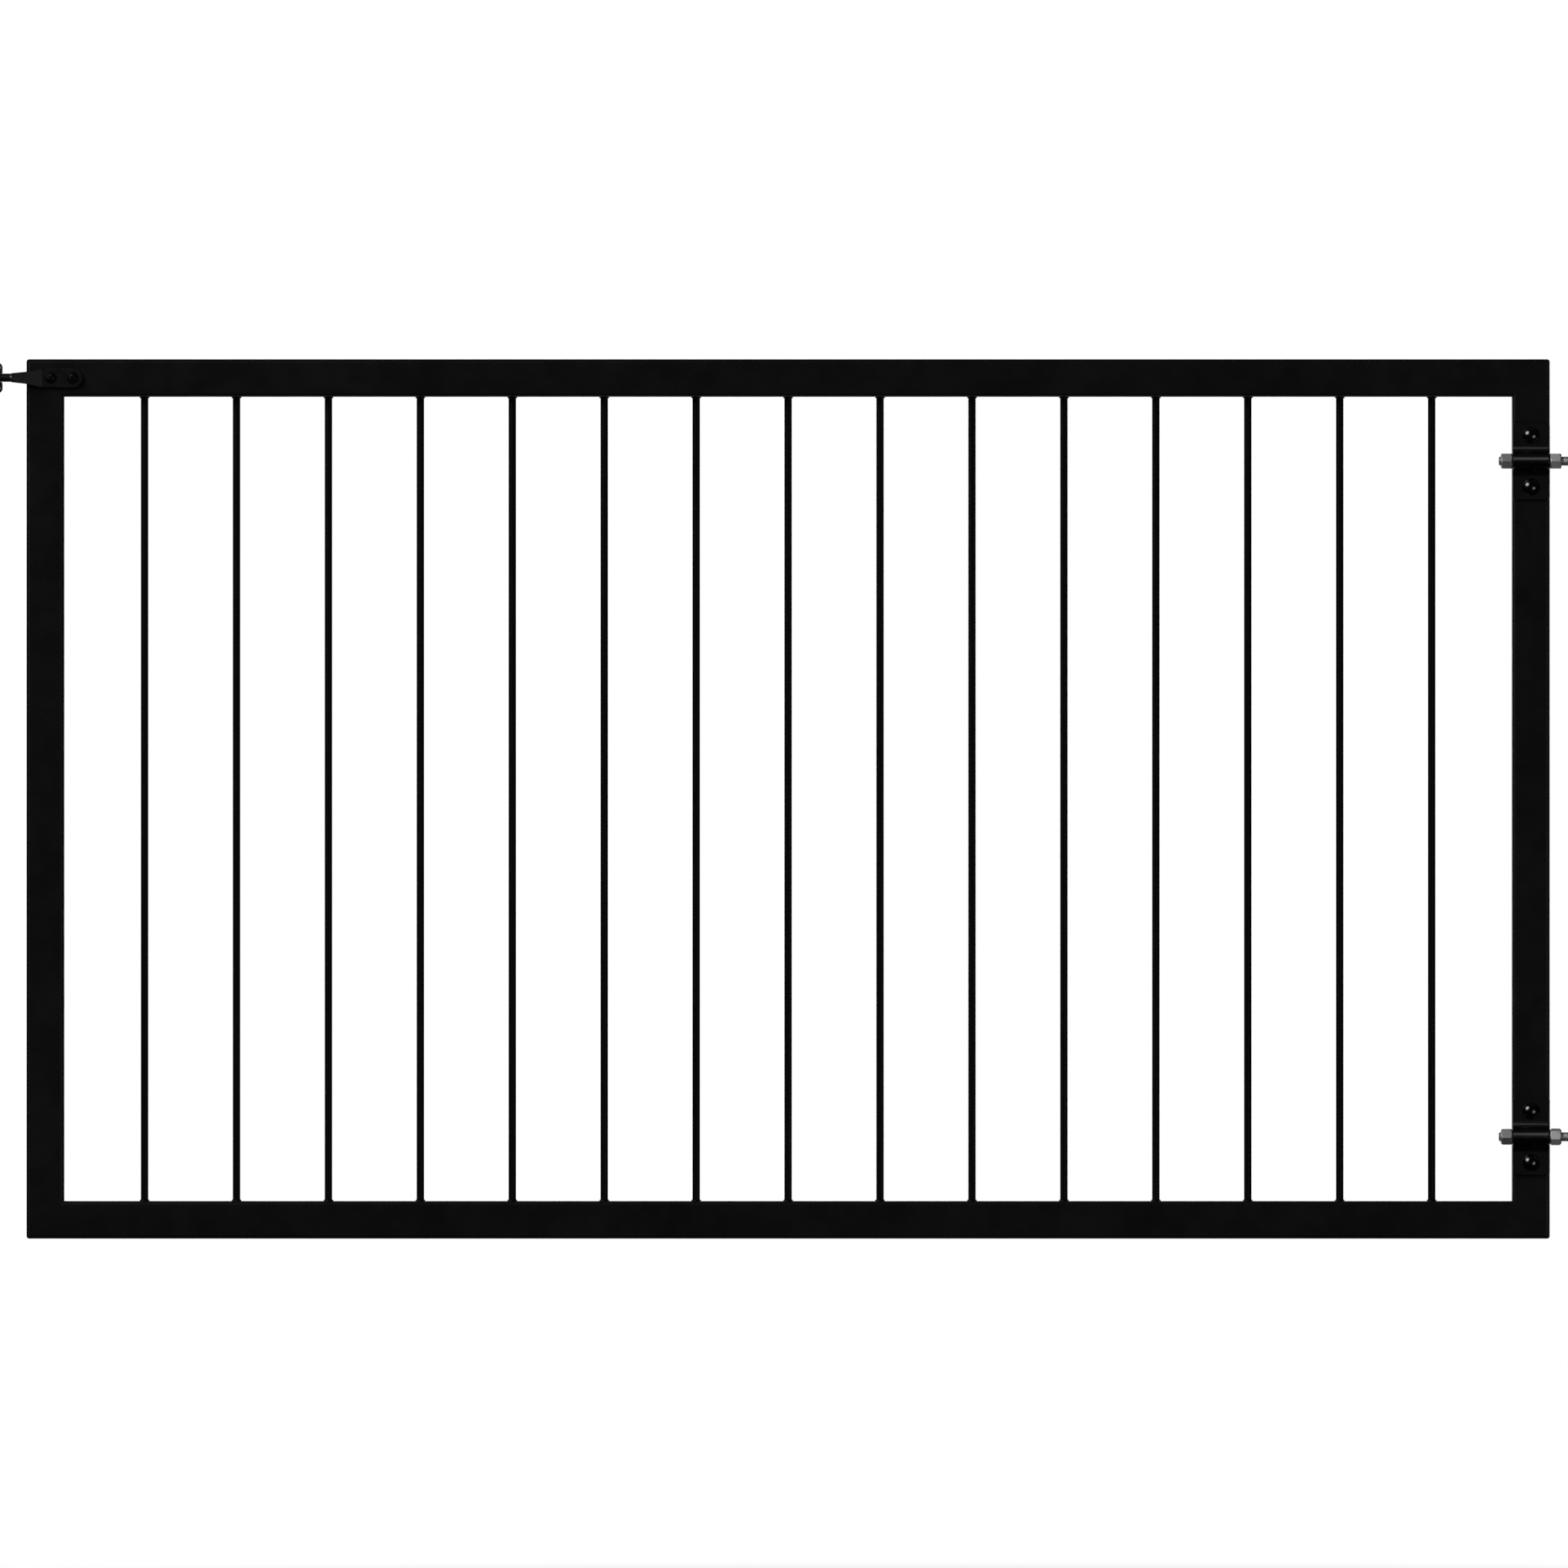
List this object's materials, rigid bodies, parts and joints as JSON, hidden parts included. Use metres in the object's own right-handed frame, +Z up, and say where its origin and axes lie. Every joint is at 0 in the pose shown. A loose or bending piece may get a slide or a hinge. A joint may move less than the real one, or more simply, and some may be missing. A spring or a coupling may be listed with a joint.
{
  "type": "garden gate",
  "caption": "Wide low steel garden gate: mitred square tube frame, slim round upright bars, adjustable eye bolt hinges on post hooks and a drop arm latch.",
  "frame": {"origin": "centre of the lower hook plate's hole pattern, on its back face, which lies on the front of the hinge post", "axes": "+X along the gate from the latch post to the hinge post, +Y from the front of the gate to its back, +Z up"},
  "size_m": [1.7678, 0.0823, 0.975],
  "materials": {
    "coat": "satin black powder coat",
    "latch_coat": "satin black powder coat",
    "black_fastener": "gloss black",
    "zinc": "zinc plated"
  },
  "bodies": {
    "post_hardware": {"upper_hook_plate": "coat", "lower_hook_plate": "coat", "upper_hook": "coat", "lower_hook": "coat", "latch_catch": "latch_coat", "latch_pivot": "black_fastener"},
    "gate_leaf": {"hinge_stile": "coat", "latch_stile": "coat", "top_rail": "coat", "bottom_rail": "coat", "infill_bar_01": "coat", "infill_bar_02": "coat", "infill_bar_03": "coat", "infill_bar_04": "coat", "infill_bar_05": "coat", "infill_bar_06": "coat", "infill_bar_07": "coat", "infill_bar_08": "coat", "infill_bar_09": "coat", "infill_bar_10": "coat", "infill_bar_11": "coat", "infill_bar_12": "coat", "infill_bar_13": "coat", "infill_bar_14": "coat", "infill_bar_15": "coat", "upper_saddle": "coat", "lower_saddle": "coat", "latch_strike": "latch_coat", "saddle_bolts": "black_fastener", "strike_screws": "black_fastener", "upper_eye_bolt": "zinc", "lower_eye_bolt": "zinc", "adjuster_nuts": "zinc", "saddle_washers": "zinc", "saddle_nuts": "zinc"},
    "latch_arm": {"latch_arm": "latch_coat"}
  },
  "joints": [
    {"name": "gate_swing", "type": "hinge", "parent": "post_hardware", "child": "gate_leaf", "pos_m": [0, -0.02, 0], "axis": [0, 0, 1], "range_deg": [0, 180]},
    {"name": "latch_drop", "type": "hinge", "parent": "post_hardware", "child": "latch_arm", "pos_m": [-1.7213, -0.014, 0.8461], "axis": [1, 0, 0], "range_deg": [0, 116]}
  ]
}
